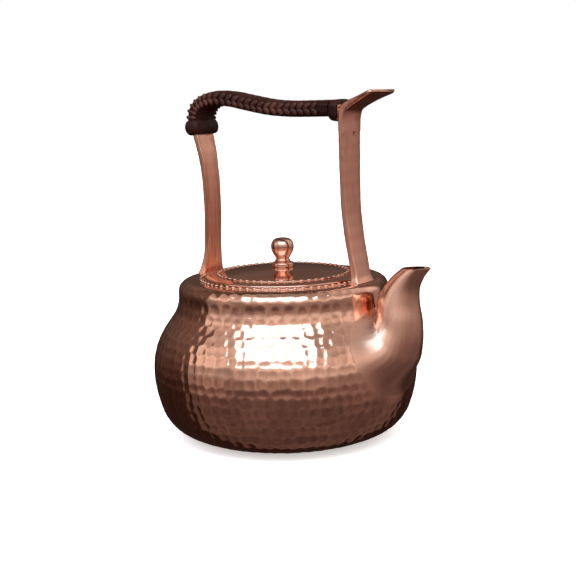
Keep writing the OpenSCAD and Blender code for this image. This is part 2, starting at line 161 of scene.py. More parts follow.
# ---------------------------------------------------------------- shading
class Value:
    """A shader socket; sums with it add the Math nodes that work them out."""

    def __init__(self, finish, socket):
        self.finish, self.socket = finish, socket

    def _sum(self, operation, a, b):
        return self.finish.add("ShaderNodeMath", {"operation": operation}, {0: a, 1: b})

    def __add__(self, other): return self._sum("ADD", self, other)
    def __radd__(self, other): return self._sum("ADD", other, self)
    def __sub__(self, other): return self._sum("SUBTRACT", self, other)
    def __rsub__(self, other): return self._sum("SUBTRACT", other, self)
    def __mul__(self, other): return self._sum("MULTIPLY", self, other)
    def __rmul__(self, other): return self._sum("MULTIPLY", other, self)
    def __pow__(self, other): return self._sum("POWER", self, other)

    def band(self, low, high, to_low=0.0, to_high=1.0):
        """Eased step from to_low, at low, to to_high, at high."""
        return self.finish.add("ShaderNodeMapRange", {"interpolation_type": "SMOOTHSTEP"},
                               {"Value": self, "From Min": low, "From Max": high,
                                "To Min": to_low, "To Max": to_high})


class Finish:
    """One material, built from nodes."""

    def __init__(self, name, **constants):
        self.material = bpy.data.materials.new(name)
        self.material.use_nodes = True
        self.tree = self.material.node_tree
        self.shader = self.tree.nodes["Principled BSDF"]
        for socket, value in constants.items():
            self.shader.inputs[socket.replace("_", " ")].default_value = value

    def add(self, kind, settings=None, sockets=None, output=0):
        """A node of this kind, its settings made first, then its sockets."""
        node = self.tree.nodes.new(kind)
        for key, value in (settings or {}).items():
            setattr(node, key, value)
        for key, value in (sockets or {}).items():
            self.put(node.inputs[key], value)
        return Value(self, node.outputs[output])

    def put(self, socket, value):
        """Links a value to a socket, or sets a plain number or colour on it."""
        if isinstance(value, Value):
            self.tree.links.new(value.socket, socket)
        elif isinstance(value, tuple) and len(value) == 3 and socket.type == "RGBA":
            socket.default_value = (*value, 1)
        else:
            socket.default_value = value

    def place(self, stretch=(1, 1, 1)):
        """The place on the piece, in metres, stretched along its axes."""
        here = self.add("ShaderNodeTexCoord", output="Object")
        if stretch == (1, 1, 1):
            return here
        return self.add("ShaderNodeMapping", {}, {"Vector": here, "Scale": stretch})

    def noise(self, scale, detail=2.0, rough=0.5, where=None):
        sockets = {"Vector": where or self.place(), "Scale": scale, "Detail": detail, "Roughness": rough}
        return self.add("ShaderNodeTexNoise", {}, sockets, "Fac")

    def mix(self, share, a, b):
        """Colour a turning into colour b as share goes from 0 to 1."""
        node = self.tree.nodes.new("ShaderNodeMix")
        node.data_type = "RGBA"
        self.put(node.inputs["Factor"], share)
        colours = [s for s in node.inputs if s.type == "RGBA"]
        self.put(colours[0], a)
        self.put(colours[1], b)
        return Value(self, [s for s in node.outputs if s.type == "RGBA"][0])

    def axes(self, vector):
        node = self.tree.nodes.new("ShaderNodeSeparateXYZ")
        self.put(node.inputs[0], vector)
        return [Value(self, s) for s in node.outputs]

    def colour(self, value): self.put(self.shader.inputs["Base Color"], value)
    def rough(self, value): self.put(self.shader.inputs["Roughness"], value)

    def bump(self, height, distance, strength=1.0):
        return self.add("ShaderNodeBump", {}, {"Height": height, "Distance": distance, "Strength": strength},
                        "Normal")

    def normal(self, value): self.put(self.shader.inputs["Normal"], value)


COPPER = (0.92, 0.56, 0.43)
DARKER = (0.62, 0.30, 0.21)
PINK_COPPER = (1.0, 0.545, 0.42)
# painted highlight colour for the ridges between hammer marks
PAINTED_RIDGE_HIGHLIGHT = (1.0, 0.66, 0.50)
RUN_BROWN = (0.40, 0.12, 0.06)
BACK_LEG_RED = (0.92, 0.37, 0.21)
MOTTLE = (0.52, 0.25, 0.17)
# painted shade colour for the front leg's pit
PIT_PAINTED_SHADE = (0.16, 0.06, 0.04)
PIT_Y, PIT_Z = 0.002, 0.188
PIT_EDGE_SQ, PIT_FLOOR_SQ = 0.0000016, 0.0000007


def copper(name, rough_low, rough_high, tarnish=0.25, streaks=(1, 1, 1), grain=0.00002, pink=0.0,
           ridges=False, drips_and_pit_shade=False):
    """Copper with a faint uneven tarnish and fine scratches.
    pink shifts its colour; ridges gives painted shade in the hammer marks' hollows and a painted highlight
    along the edges between them;
    drips reddens the lower back leg with brown runs, mottles the legs and puts painted shade in the front
    leg's pit, a dark spot over a bumped dent."""
    f = Finish(name, Metallic=1.0)
    cloud = f.noise(38, 4, 0.55)
    fine = f.noise(240, 5, 0.6, f.place(streaks))
    base = tuple(c * (1 - pink) + p * pink for c, p in zip(COPPER, PINK_COPPER))
    tone = f.mix(cloud.band(0.42, 0.72, 0.0, tarnish), base, DARKER)
    if ridges:
        # painted shade in the hollows of the hammer marks, and painted highlight along the ridges between
        # them
        edge = f.add("ShaderNodeAttribute", {"attribute_name": "ridge"}, output="Fac")
        tone = f.mix(edge.band(0.5, 0.25, 0.0, 0.26), tone, DARKER)
        tone = f.mix(edge.band(0.4, 0.85, 0.0, 0.45), tone, PAINTED_RIDGE_HIGHLIGHT)
    pit = None
    if drips_and_pit_shade:
        x, y, z = f.axes(f.place())
        runs = f.noise(330, 3, 0.6, f.place((1, 1, 0.045)))
        back = x.band(-0.02, -0.045) * z.band(0.185, 0.135)
        tone = f.mix(runs.band(0.48, 0.60) * back * 0.8, tone, RUN_BROWN)
        tone = f.mix(back * 0.5, tone, BACK_LEG_RED)
        patches = f.noise(55, 5, 0.7, f.place((1, 1, 0.5)))
        tone = f.mix(patches.band(0.50, 0.64) * z.band(0.12, 0.16) * 0.6, tone, MOTTLE)
        # painted shade: a dark spot in the front leg's pit, which is only a bump dent and not cut into the
        # strap
        pit = ((y - PIT_Y) ** 2 + (z - PIT_Z) ** 2).band(PIT_EDGE_SQ, PIT_FLOOR_SQ) * x.band(0.050, 0.0515)
        tone = f.mix(pit * 0.75, tone, PIT_PAINTED_SHADE)
    f.colour(f.mix(fine.band(0.5, 0.8, 0.0, 0.18), tone, DARKER))
    f.rough(cloud.band(0.3, 0.75, rough_low, rough_high) + fine * 0.05 - 0.025)
    f.normal(f.bump(fine if pit is None else fine - pit * 12, grain))
    return f.material


body_copper = copper("hammered_copper", 0.085, 0.14, 0.22, ridges=True)
inside_copper = copper("inside_copper", 0.30, 0.40, 0.4)
spout_copper = copper("planished_copper", 0.24, 0.32, 0.22, (1, 1, 0.15), 0.00004)
lid_copper = copper("polished_lid_copper", 0.07, 0.12, 0.18)
bead_copper = copper("beaded_copper", 0.12, 0.2, 0.2)
knob_copper = copper("turned_knob_copper", 0.10, 0.16, 0.1)
strap_copper = copper("satin_strap_copper", 0.28, 0.36, 0.2, (1, 1, 0.12), 0.00005, pink=1.0, drips_and_pit_shade=True)


def leather(name, dark, light, worn, grain_scale, sheen):
    """Waxed leather, clouded from dark to light, with worn pores and a fine grain."""
    f = Finish(name, Specular_IOR_Level=sheen)
    cloud = f.noise(60, 4, 0.6)
    grain = f.add("ShaderNodeTexVoronoi", {"feature": "F1"},
                  {"Vector": f.place(), "Scale": grain_scale}, "Distance")
    pores = f.noise(900, 3, 0.6)
    tone = f.mix(cloud.band(0.35, 0.7), dark, light)
    f.colour(f.mix(pores.band(0.55, 0.8, 0.0, 0.5), tone, worn))
    f.rough(cloud.band(0.3, 0.7, 0.38, 0.55))
    f.normal(f.bump(grain + pores * 0.4, 0.00025, 0.6))
    return f.material


grip_leather = leather("waxed_leather", (0.014, 0.0035, 0.0026), (0.034, 0.0085, 0.006),
                       (0.065, 0.019, 0.012), 420, 0.18)
lace_leather = leather("leather_lace", (0.034, 0.009, 0.0065), (0.090, 0.026, 0.018),
                       (0.17, 0.06, 0.04), 500, 0.34)

# ---------------------------------------------------------------- body
BASE_R, BELLY_R, BELLY_Z = 37.0, 82.5, 44.0
NECK_R, NECK_Z, SHOULDER, TOP = 65.4, 93.0, 6.4, 99.4
MOUTH_R, WALL = 47.53, 1.2
# the belly's outline below and above its widest, as shares of the way out and the way up
LOW = [(0, 0), (0.209, 0.016), (0.407, 0.048), (0.545, 0.095), (0.673, 0.159), (0.782, 0.25),
       (0.875, 0.386), (0.932, 0.545), (0.971, 0.705), (0.993, 0.852), (1, 1)]
HIGH = [(0.977, 0.143), (0.901, 0.276), (0.760, 0.398), (0.567, 0.520), (0.338, 0.633),
        (0.143, 0.735), (0.036, 0.837), (0.006, 0.918), (0, 1)]
side = curve([(BASE_R + (BELLY_R - BASE_R) * r, BELLY_Z * z) for r, z in LOW]
             + [(NECK_R + (BELLY_R - NECK_R) * r, BELLY_Z + (NECK_Z - BELLY_Z) * z) for r, z in HIGH], 8)
corner = np.array([(NECK_R - SHOULDER + SHOULDER * math.cos(a), NECK_Z + SHOULDER * math.sin(a))
                   for a in np.linspace(0, math.pi / 2, 13)[1:]])
skin = even(np.vstack([side, corner]), 1.06)
skin_s = lengths(skin)


def skin_r(z):
    """Outside radius at a height."""
    return float(np.interp(z, skin[:, 1], skin[:, 0]))


def skin_at(z):
    """Distance along the outline, from the edge of the base, to a height."""
    return float(np.interp(z, skin[:, 1], skin_s))


MARK_DEPTH = 0.36
MARK_R_AROUND, MARK_R_BELOW, MARK_R_ABOVE = 17, 12.5, 24
SHOULDER_ROWS = 2
SHOULDER_MARK, BELLY_MARK = 7.6, 6.6


def hammered(bm):
    """Sinks overlapping hammer marks, row by row, into the outside of the body,
    and keeps how near each point is to an edge between marks as the ridge attribute."""
    rng = np.random.default_rng(7)
    ridge = bm.verts.layers.float.new("ridge")
    verts = list(bm.verts)
    co = np.array([v.co for v in verts])
    r = np.hypot(co[:, 0], co[:, 1])
    turn = np.arctan2(co[:, 1], co[:, 0])
    on_skin = (np.abs(r - np.interp(co[:, 2], skin[:, 1], skin[:, 0])) < 0.3) & (co[:, 2] > 0.05)
    s = np.interp(co[:, 2], skin[:, 1], skin_s)
    inward = frames(skin)[1]
    out_r, out_z = (np.interp(s, skin_s, -inward[:, k]) for k in (0, 1))
    low = np.full(len(verts), MARK_DEPTH)
    next_low = np.full(len(verts), MARK_DEPTH)
    rows = [skin_at(96.6), skin_at(87.8), skin_at(87.8) - 7.2]
    while rows[-1] > 4:
        rows.append(rows[-1] - rng.uniform(5.5, 6.1))
    for k, row in enumerate(rows):
        row_r = np.interp(row, skin_s, skin[:, 0])
        wide = SHOULDER_MARK if k < SHOULDER_ROWS else BELLY_MARK
        count = int(round(math.tau * row_r / wide))
        centre = (np.arange(count) + rng.uniform(0, 1) + rng.uniform(-0.16, 0.16, count)) * math.tau / count
        up = row + rng.uniform(-0.6, 0.6, count)
        depth = rng.uniform(-0.05, 0.05, count)
        curve_r = rng.uniform(0.85, 1.2, count)
        near = np.where(on_skin & (np.abs(s - row) < 10))[0]
        a = np.mod(turn[near], math.tau)
        first = np.floor(a / (math.tau / count)).astype(int)
        for shift in (-2, -1, 0, 1, 2):
            i = (first + shift) % count
            du = np.mod(a - centre[i] + math.pi, math.tau) - math.pi
            du = du * r[near]
            dt = s[near] - up[i]
            mark_r = np.where(dt < 0, MARK_R_BELOW, MARK_R_ABOVE)
            q = du ** 2 / (2 * MARK_R_AROUND * curve_r[i]) + dt ** 2 / (2 * mark_r) + depth[i]
            next_low[near] = np.minimum(next_low[near], np.maximum(low[near], q))
            low[near] = np.minimum(low[near], q)
    around = np.abs(turn) * r
    up_spout = np.hypot(around / 37.0, (co[:, 2] - 60) / 33.0)
    by_foot = np.hypot(around / 15.0, (co[:, 2] - 97) / 9.0)
    keep = smoothstep(0.88, 1.12, up_spout) * smoothstep(0.8, 1.3, by_foot)
    keep *= smoothstep(0.5, 6, s) * np.where(co[:, 2] > TOP - 0.35, 0, 1)
    move = np.where(on_skin, (np.clip(low, -1, MARK_DEPTH) - MARK_DEPTH * 0.93) * keep, 0)
    move = np.minimum(move, 0)
    sharp = smoothstep(0.16, 0.0, next_low - low) * keep * on_skin
    for v, e, k in zip(verts, sharp, keep * on_skin):
        v[ridge] = 0.5 + 0.5 * float(e) - 0.25 * float(k)
    for v, m, a, vr, vz in zip(verts, move, turn, out_r, out_z):
        if m:
            v.co.x += m * vr * math.cos(a)
            v.co.y += m * vr * math.sin(a)
            v.co.z += m * vz


def body_profile():
    """Base, outside, shoulder, lip of the mouth and inside, as radius and height."""
    inner = even(np.vstack([side, corner]), 5)
    inside = inner + frames(inner)[1] * WALL
    inside = [(r, z) for r, z in inside if z > WALL and z < TOP - WALL]
    plate = [(r, TOP) for r in np.linspace(NECK_R - SHOULDER, MOUTH_R + 0.4, 8)[1:]]
    base = [(r, 0.0) for r in np.linspace(0, BASE_R, 10)[:-1]]
    lip = [(MOUTH_R + 0.1, TOP - 0.15), (MOUTH_R, TOP - 0.45), (MOUTH_R, TOP - WALL)]
    return (base + [tuple(p) for p in skin] + plate + lip
            + [(NECK_R - SHOULDER, TOP - WALL)] + inside[::-1] + [(BASE_R - 1, WALL), (0, WALL)])


bm = turned(body_profile(), 470)
hammered(bm)
finish_piece(bm, "hammered_body", "kettle", body_copper, ["body_shell"], outward=False)

# ---------------------------------------------------------------- spout
# each station's front point as x and z, back point as x and z, and half width
SPOUT = [(93.0, 56, 69.6, 82.8, 19.2), (95.0, 66.5, 69.2, 84.9, 16.6), (95.0, 78, 68.9, 87.4, 15),
         (93.8, 88.5, 69.2, 91.2, 13.2), (94.4, 97.2, 73.4, 98.9, 10.7), (97.6, 104.2, 78.2, 104.7, 8.6),
         (102.5, 110.2, 84.0, 109.5, 6.8)]
stations = curve(SPOUT, 6)
AROUND = 96
SHEET = 1.2
ROOT_Z, ROOT_UP, ROOT_DOWN, ROOT_HALF = 60.5, 24.5, 27.0, 36
PROUD = 0.02


def on_skin(y, z):
    """The point on the front of the body, a hair proud of it, at y and z."""
    r = skin_r(z) + PROUD
    return np.array([math.sqrt(max(1.0, r * r - y * y)), y, z])


def station_ring(station, shrink, share):
    """One ring of the spout; share runs from 0 at the root to 1 at the mouth."""
    fx, fz, bx, bz, half = station
    middle, arm = np.array([fx + bx, fz + bz]) / 2, np.array([bx - fx, bz - fz]) / 2
    long = np.linalg.norm(arm)
    ring = []
    for j in range(AROUND):
        w = math.tau * j / AROUND
        c = math.cos(w)
        tip = max(0.0, -c) ** 3 * share ** 3
        ripple = math.cos(17 * w + 2.2 * math.sin(3 * share + w)) ** 2
        facet = 0.16 * (1 - shrink / 3) * ripple * (1 - share) ** 0.5
        reach = (long - shrink - facet) * c
        q = middle + arm / long * reach
        y = (half - shrink - facet) * math.sin(w) * (1 - 0.45 * tip)
        ring.append(np.array([q[0], y, q[1]]))
    return ring


def spout_piece():
    """Flared root laid on the body, blended into the tapered tube, and back down inside it."""
    last = len(stations) - 1
    outer = [station_ring(st, 0, i / last) for i, st in enumerate(stations)]
    root = []
    for j in range(AROUND):
        w = math.tau * j / AROUND
        c, sn = math.cos(w), math.sin(w)
        z = ROOT_Z + (ROOT_UP if c > 0 else ROOT_DOWN) * c
        root.append(on_skin(ROOT_HALF * sn, z))
    blend = []
    for k in range(13):
        t = k / 13
        ring = []
        for j in range(AROUND):
            p0, p1 = root[j], outer[0][j]
            r = skin_r(p0[2])
            up = (skin_r(p0[2] + 1) - skin_r(p0[2] - 1)) / 2
            n = np.array([p0[0] / r, p0[1] / r, -up])
            n /= np.linalg.norm(n)
            way = p1 - p0
            flat = way - n * way.dot(n)
            flat /= np.linalg.norm(flat)
            on = outer[1][j] - outer[0][j]
            on /= np.linalg.norm(on)
            size = np.linalg.norm(way)
            h = ((2 * t ** 3 - 3 * t * t + 1) * p0 + (t ** 3 - 2 * t * t + t) * size * 1.05 * flat
                 + (3 * t * t - 2 * t ** 3) * p1 + (t ** 3 - t * t) * size * 0.9 * on)
            h[0] = max(h[0], on_skin(h[1], h[2])[0])
            ring.append(h)
        blend.append(ring)
    rim = station_ring(stations[-1], 0.55, 1)
    inner = [station_ring(st, SHEET, i / last) for i, st in enumerate(stations)]
    lip = [p + np.array([0, 0, 0.35]) for p in rim]
    rings = blend + outer + [lip] + inner[::-1]
    rings.append([on_skin(p[1] * 1.15, min(max(p[2] - 4, 42), 80)) for p in inner[0]])
    return drawn(rings, caps=False, join=True)


finish_piece(spout_piece(), "spout_with_flared_root", "kettle", spout_copper, ["spout"], 40)

# ---------------------------------------------------------------- lid
LID_R, RISE, RIM_Z = 49.6, 5.4, 99.5
LID_TOP = RIM_Z + 1 + RISE


def dome(r):
    """Height of the lid's top at a radius."""
    return LID_TOP - RISE * (r / LID_R) ** 2


def lid_dome():
    """The lid's thin sheet and its rolled rim."""
    over = [(r, dome(r)) for r in np.linspace(2.05, 48.4, 40)]
    rim = [(LID_R - 0.85 + 0.85 * math.cos(a), RIM_Z + 0.9 + 0.9 * math.sin(a))
           for a in np.linspace(math.radians(80), math.radians(-90), 12)]
    under = [(r, dome(r) - 1) for r in np.linspace(47.4, 2.05, 24)]
    return turned(over + rim + under + over[:1], 256)


finish_piece(lid_dome(), "lid_dome", "lid", lid_copper, ["lid_shell"], 60)


def beads(radius, count, z, long, wide, tall, lean):
    """A ring of oval beads on a thin wire that follows the surface under them."""
    bm = bmesh.new()
    rng = random.Random(count)
    for i in range(count):
        a = math.tau * i / count + rng.uniform(-0.004, 0.004)
        size = rng.uniform(0.94, 1.05)
        m = (Matrix.Rotation(a, 4, "Z") @ Matrix.Translation((radius, 0, z)) @ Matrix.Rotation(lean, 4, "Y")
             @ Matrix.Diagonal((wide * size, long * size, tall * size, 1)))
        bmesh.ops.create_uvsphere(bm, u_segments=12, v_segments=8, radius=1, matrix=m)
    wire = bmesh.new()
    ring = [(radius + 0.9 * math.cos(t), z - tall * 0.55 + 0.55 * math.sin(t))
            for t in np.linspace(0, math.tau, 9)[:-1]]
    verts, edges = chain(wire, ring)
    edges.append(wire.edges.new((verts[-1], verts[0])))
    bmesh.ops.spin(wire, geom=verts + edges, cent=(0, 0, 0), axis=(0, 0, 1),
                   angle=math.tau, steps=180, use_merge=True)
    mesh = bpy.data.meshes.new("wire")
    wire.to_mesh(mesh)
    wire.free()
    bm.from_mesh(mesh)
    bpy.data.meshes.remove(mesh)
    return bm


MOUTH_RING_R, LID_RING_R = 51.4, 40.6
mouth_beads = beads(MOUTH_RING_R, 67, TOP + 0.5, 1.45, 1.2, 0.85, 0)
lid_beads = beads(LID_RING_R, 53, dome(LID_RING_R) + 0.4, 1.45, 1.15, 0.72, 0.11)
finish_piece(mouth_beads, "mouth_beads", "kettle", bead_copper, ["mouth_bead_ring"], 80)
finish_piece(lid_beads, "lid_beads", "lid", bead_copper, ["lid_bead_ring"], 80)

# ---------------------------------------------------------------- knob
# radius, and height over the top of the lid
ball = curve([(4.3, 4.5), (4.1, 4.9), (4.3, 5.5), (4.9, 6.5), (5.8, 8.0), (6.55, 9.6), (7.0, 11.4),
              (7.1, 13.1), (6.7, 14.9), (5.8, 16.4), (4.3, 17.5), (2.4, 17.95), (0, 18)], 4)
knob = [(0, -3), (2.8, -3), (3, -2.1), (2, -2.0), (2, 0.03), (6.4, 0.03), (6.9, 0.2), (7.0, 0.6), (7.0, 1.8),
        (6.9, 2.2), (6.5, 2.6), (5.9, 2.9), (5.1, 3.2), (4.5, 3.5), (4.5, 3.65), (4.85, 3.8), (4.95, 4.0),
        (4.85, 4.2), (4.45, 4.35)] + [tuple(p) for p in ball]
finish_piece(turned([(r, LID_TOP + z) for r, z in knob], 128), "turned_knob", "lid",
             knob_copper, ["lid_knob"], 60)

# ---------------------------------------------------------------- handle
# middle of each strap as x and z, and its thickness there
REAR = [(-56.5, 99.2, 5.4), (-55.9, 102, 4.8), (-54.6, 110, 4), (-54.1, 119, 4), (-53.4, 132, 4),
        (-53.3, 146, 4), (-53.9, 160, 4), (-55.4, 173, 4), (-58.0, 185, 4), (-59.6, 193, 4),
        (-59.8, 199, 4), (-57.9, 204.6, 4), (-52.8, 208.6, 4), (-44, 210.7, 4), (-33, 209.9, 4),
        (-22, 207.7, 4), (-5, 204.5, 4), (10, 203.2, 4), (24, 203.0, 4), (41.2, 203.0, 4)]
FRONT = [(56.6, 99.2, 5.6), (56.4, 101, 4.9), (55.4, 108, 4.2), (53.6, 118, 4), (52.0, 128, 4),
         (50.6, 140, 4), (50, 152, 4), (49.9, 166, 4), (49.9, 180, 4), (50.1, 191, 4.1),
         (50.3, 197.5, 4.5), (51.6, 202.4, 4.9), (55.4, 205.2, 4.3), (61, 207.6, 3.4),
         (67.4, 210.2, 2.7), (73.3, 212.4, 2.2)]
rear_line, front_line = even(curve(REAR, 10), 1.6), even(curve(FRONT, 10), 1.4)
TANG = (2.6, 11, 4.2)
TAB_END = 1.1


def hand_forged(ring, phase, centre, amount):
    """Shifts a ring's points a little, for the soft waviness of forged strap."""
    out = []
    for x, y, z in ring:
        wave = math.sin(z * 0.31 + y * 0.23 + phase) + 0.6 * math.sin(z * 0.83 - y * 0.41 + x * 0.2)
        wave *= amount / 1.6
        dx, dz = x - centre[0], z - centre[1]
        size = math.hypot(dx, dz) or 1
        out.append((x + dx / size * wave, y, z + dz / size * wave))
    return out


def block(bm, size, at, soft):
    """Adds a block with softened edges."""
    box = bmesh.ops.create_cube(bm, size=1, matrix=Matrix.Translation(at) @ Matrix.Diagonal((*size, 1)))
    edges = list({e for v in box["verts"] for e in v.link_edges})
    bmesh.ops.bevel(bm, geom=edges, offset=soft, affect="EDGES", segments=2, profile=0.5, material=-1)


def rear_width(z):
    return 2 * float(np.interp(z, [99, 101, 104, 110, 117, 146, 168, 186],
                               [10.9, 10.1, 9.1, 7.9, 7.1, 7.3, 7.7, 9]))


def rear_bar():
    """The back leg and the bar in the grip, its end turned down, and its tang."""
    n = frames(rear_line)[1]
    rings = []
    for i, p in enumerate(rear_line):
        ring = strap_ring(p[:2], n[i], p[2], rear_width(p[1]), min(1.3, p[2] / 2 - 0.05), 0.15)
        rings.append(hand_forged(ring, 1.0, p[:2], 0.10))
    bm = drawn(rings)
    block(bm, (6.8, 18, 4), (44.5, 0, 203.0), 0.4)
    block(bm, (3.9, 18, 6.6), (46.0, 0, 199.7), 0.4)
    block(bm, TANG, (-55.6, 0, 97.6), 0.4)
    return bm


def front_leg():
    """The front leg with its flared foot, and the thumb tab that it bends into."""
    n = frames(front_line)[1]
    s = lengths(front_line)
    rings = []
    for i, p in enumerate(front_line):
        if p[0] < 51.5 or p[1] < 190:
            wide = 2 * float(np.interp(p[1], [99, 101, 106, 112, 150, 178, 196, 203],
                                       [9.0, 9.0, 8.7, 8.9, 9.3, 10.0, 10.3, 10.5]))
            wide += 1.8 * float(smoothstep(103.5, 99.3, p[1]))
        else:
            wide = 2 * float(np.interp(p[0], [51.5, 56, 63, 70, 71.6, 72.6, 73.3],
                                       [10.4, 10.8, 11.9, 14.25, 14.6, 14.3, 13.3]))
        thick = p[2] + 1.3 * float(smoothstep(102.5, 99.3, p[1]))
        end = s[-1] - s[i]
        if end < TAB_END:
            thick *= 0.55 + 0.45 * math.sqrt(max(0.0, end / TAB_END))
        ring = strap_ring(p[:2], n[i], thick, wide, min(1.25, thick / 2 - 0.05), 0.12)
        rings.append(hand_forged(ring, 2.0, p[:2], 0.09 if p[1] > 103 else 0.0))
    bm = drawn(rings)
    block(bm, TANG, (55.6, 0, 97.6), 0.3)
    return bm


finish_piece(rear_bar(), "back_leg_and_bar", "kettle", strap_copper, ["rear_bar"], 60)
finish_piece(front_leg(), "front_leg_and_tab", "kettle", strap_copper, ["front_leg"], 60)


RIVET_Y, RIVET_Z, RIVET_R = 5.2, 198.8, 1.5


def rivets():
    bm = bmesh.new()
    for y in (-RIVET_Y, RIVET_Y):
        shank = Matrix.Translation((47.6, y, RIVET_Z)) @ Matrix.Rotation(math.pi / 2, 4, "Y")
        bmesh.ops.create_cone(bm, cap_ends=True, segments=32, radius1=RIVET_R, radius2=RIVET_R,
                              depth=7.6, matrix=shank)
        head = Matrix.Translation((43.9, y, RIVET_Z)) @ Matrix.Diagonal((0.9, 1.9, 1.9, 1))
        bmesh.ops.create_uvsphere(bm, u_segments=24, v_segments=12, radius=1, matrix=head)
    return bm


finish_piece(rivets(), "flush_rivets", "kettle", strap_copper, ["lap_rivets"], 60)

# ---------------------------------------------------------------- grip
def on_back_leg(z):
    """Which point of the back strap is nearest a height, on its leg and not on its bar."""
    return int(np.argmin(np.abs(rear_line[:, 1] - z) + 100 * (rear_line[:, 0] > -55)))


grip_line = even(rear_line[on_back_leg(194.6):], 1.3)
grip_t, grip_n = frames(grip_line)
grip_s = lengths(grip_line)
GRIP_LONG = grip_s[-1]


def grip_half(s):
    """Half thickness and half width of the leather, s along it from the back end."""
    return (float(np.interp(s, [0, 8, 26, 110, GRIP_LONG], [4.6, 4.7, 4.75, 4.9, 4.9])),
            float(np.interp(s, [0, 6, 30, GRIP_LONG], [10.9, 11, 11, 11])))


def leather_ring(i, shrink=0.0):
    """The sleeve's section at one point of the bar, pinched at the seams and ribbed round the bend."""
    p, n, s = grip_line[i], grip_n[i], grip_s[i]
    hu, hv = grip_half(s)
    ring = []
    for k in range(56):
        a = math.tau * k / 56
        c, sn = math.cos(a), math.sin(a)
        u = math.copysign(abs(c) ** 0.62, c) * hu
        v = math.copysign(abs(sn) ** 0.80, sn) * hv
        seam = math.exp(-(u / 1.6) ** 2) * (abs(sn) > 0.5) * 0.55
        v -= math.copysign(seam, v)
        bend = float(smoothstep(30, 6, s))
        rib = 0.16 * bend * math.cos(s * 2.1) * (1 if c < 0 else 0.4)
        soft = 0.12 * math.sin(s * 0.55 + 3 * a) + rib
        u += math.copysign(soft * min(1, abs(u) / 3), u)
        u -= math.copysign(shrink, u)
        ring.append((p[0] + n[0] * u, v * (1 - shrink / hv), p[1] + n[1] * u))
    return ring


def leather_sleeve():
    last = len(grip_line) - 1
    long = [leather_ring(i, 0.35 if i in (0, last) else 0) for i in range(last + 1)]
    return drawn([leather_ring(0, 1.4)] + long + [leather_ring(last, 1.4)])


finish_piece(leather_sleeve(), "leather_sleeve", "kettle", grip_leather, ["grip_leather"], 70)


def lace_row(side):
    """Braided lace along one edge of the sleeve: slanting pairs, and plain bars round the bend."""
    bm = bmesh.new()
    rng = random.Random(5 if side < 0 else 9)
    s = 1.2
    while s < GRIP_LONG - 10:
        straight = float(smoothstep(14, 34, s))
        x, z = (float(np.interp(s, grip_s, grip_line[:, k])) for k in (0, 1))
        tx, tz = (float(np.interp(s, grip_s, grip_t[:, k])) for k in (0, 1))
        heading = math.atan2(tz, tx)
        hv = grip_half(s)[1]
        for up in (1, -1):
            lean = up * math.radians(88 - 46 * straight) + rng.uniform(-0.05, 0.05)
            half = 1.75 + 0.75 * straight
            a = heading + lean
            reach = half * (0.98 - 0.06 * straight)
            cx, cz = x + math.cos(a) * reach, z + math.sin(a) * reach
            m = (Matrix.Translation((cx, side * (hv - 0.2), cz)) @ Matrix.Rotation(-a, 4, "Y")
                 @ Matrix.Rotation(side * up * 0.10, 4, "X")
                 @ Matrix.Diagonal((half * 1.15, 0.78, 1.62 - 0.3 * (1 - straight), 1))
                 @ Matrix.Rotation(math.pi / 2, 4, "Y"))
            bmesh.ops.create_uvsphere(bm, u_segments=10, v_segments=7, radius=1, matrix=m)
        s += 3.3 + 1.55 * straight + rng.uniform(-0.1, 0.1)
    return bm


finish_piece(lace_row(-1), "near_lacing", "kettle", lace_leather, ["grip_lacing_near"], 80)
finish_piece(lace_row(1), "far_lacing", "kettle", lace_leather, ["grip_lacing_far"], 80)


def roll_ring(centre, normal, hu, hv, wobble):
    ring = []
    for k in range(48):
        a = math.tau * k / 48
        c, sn = math.cos(a), math.sin(a)
        w = 1 + wobble * (math.sin(5 * a + 0.7) + 0.6 * math.sin(9 * a)) / 1.6
        u = math.copysign(abs(c) ** 0.58, c) * hu * w
        v = math.copysign(abs(sn) ** 0.58, sn) * hv * w
        ring.append((centre[0] + normal[0] * u, v, centre[1] + normal[1] * u))
    return ring


def rolled_edge(centre, along, normal, half, hu, hv, bulge_u, bulge_v, wobble):
    """A roll of leather round the strap, half its length along it, bulging in the middle."""
    rings = []
    for k in range(13):
        a = math.radians(-90 + 180 * k / 12)
        g = math.cos(a)
        at = np.array(centre) + np.array(along) * half * math.sin(a)
        rings.append(roll_ring(at, normal, hu + bulge_u * g, hv + bulge_v * g, wobble * g))
    return drawn(rings)


roll_at = on_back_leg(192.4)
rear_t, rear_n = frames(rear_line)
back_roll = rolled_edge(rear_line[roll_at][:2], rear_t[roll_at], rear_n[roll_at],
                        4.8, 4.2, 9.8, 2.0, 3.2, 0.035)
front_roll = rolled_edge((44.6, 201.6), (1, 0), (0, 1), 3.1, 5.3, 9.8, 1.3, 1.3, 0.015)
finish_piece(back_roll, "back_rolled_edge", "kettle", grip_leather, ["grip_roll_rear"], 70)
finish_piece(front_roll, "front_rolled_edge", "kettle", grip_leather, ["grip_roll_front"], 70)

# ---------------------------------------------------------------- camera, light, floor
EYE_AWAY, EYE_HIGH, EYE_TURN, EYE_ROLL = 0.72, 0.208, math.radians(34), math.radians(-1.614)
AIM_HIGH = 0.105
CAMERA_SIDE = -56

camera = bpy.data.cameras.new("camera")
camera.sensor_width = 36
camera.lens = 72.7875
camera.shift_x, camera.shift_y = 0.00875, -0.035503472
camera.clip_start = 0.01
eye = bpy.data.objects.new("camera", camera)
bpy.context.scene.collection.objects.link(eye)
place = Vector((EYE_AWAY * math.sin(EYE_TURN), -EYE_AWAY * math.cos(EYE_TURN), EYE_HIGH))
look = (Vector((0, 0, AIM_HIGH)) - place).to_track_quat("-Z", "Y").to_matrix().to_4x4()
eye.matrix_world = Matrix.Translation(place) @ look @ Matrix.Rotation(EYE_ROLL, 4, "Z")
bpy.context.scene.camera = eye


LIGHTS_AIM = Vector((0, 0, 0.08))


